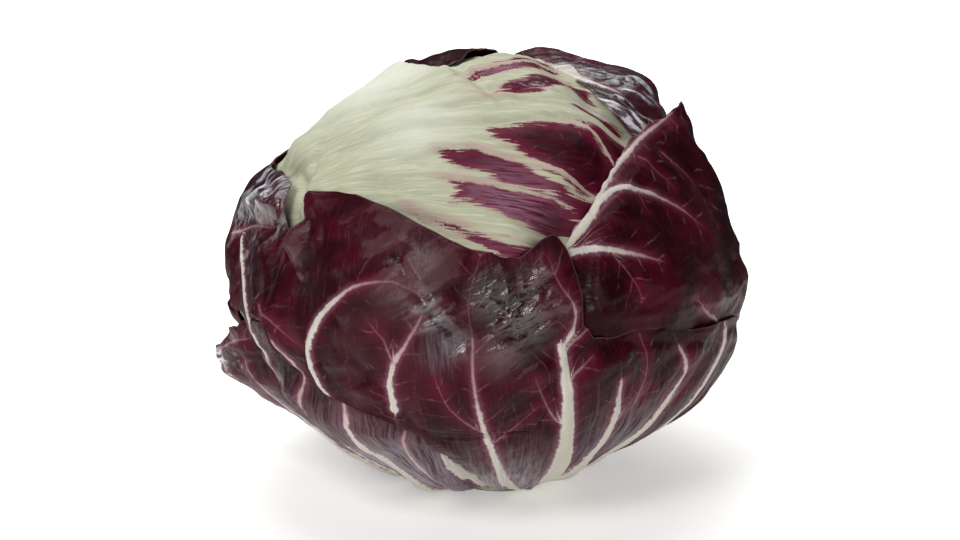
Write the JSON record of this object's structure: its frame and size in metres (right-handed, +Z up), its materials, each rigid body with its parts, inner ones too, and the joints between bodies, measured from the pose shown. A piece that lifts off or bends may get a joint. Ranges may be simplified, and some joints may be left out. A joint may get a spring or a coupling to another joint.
{
  "type": "radicchio head",
  "caption": "Round head of red radicchio: wine-red leaves with cream ribs wrap one over another round a cut stem that it rests on.",
  "frame": {"origin": "middle of the stem's flat cut face, which the head rests on", "axes": "+Z up out of the cut face, -Y towards the side where the outermost leaf lies, +X to the right as seen from there"},
  "size_m": [0.117, 0.1115, 0.0968],
  "materials": {
    "outer_leaves": "satin, thin waxy leaf skin",
    "cap_leaf": "satin, ribbed cream leaf with wine-red patches",
    "heart_leaves": "satin, pale inner leaf",
    "stem": "matte, cut plant stem"
  },
  "bodies": {
    "root": {"stem": "stem", "front_leaf": "outer_leaves", "left_leaf": "outer_leaves", "right_leaf": "outer_leaves", "back_leaf": "outer_leaves", "lower_left_leaf": "outer_leaves", "back_left_leaf": "outer_leaves", "back_right_leaf": "outer_leaves", "cap_leaf": "cap_leaf", "heart_leaf_01": "heart_leaves", "heart_leaf_02": "heart_leaves", "heart_leaf_03": "heart_leaves", "heart_leaf_04": "heart_leaves", "heart_leaf_05": "heart_leaves", "heart_leaf_06": "heart_leaves", "heart_leaf_07": "heart_leaves", "heart_leaf_08": "heart_leaves", "heart_leaf_09": "heart_leaves", "heart_leaf_10": "heart_leaves", "heart_leaf_11": "heart_leaves", "heart_leaf_12": "heart_leaves", "heart_leaf_13": "heart_leaves", "heart_leaf_14": "heart_leaves", "heart_leaf_15": "heart_leaves", "heart_leaf_16": "heart_leaves"}
  },
  "joints": []
}
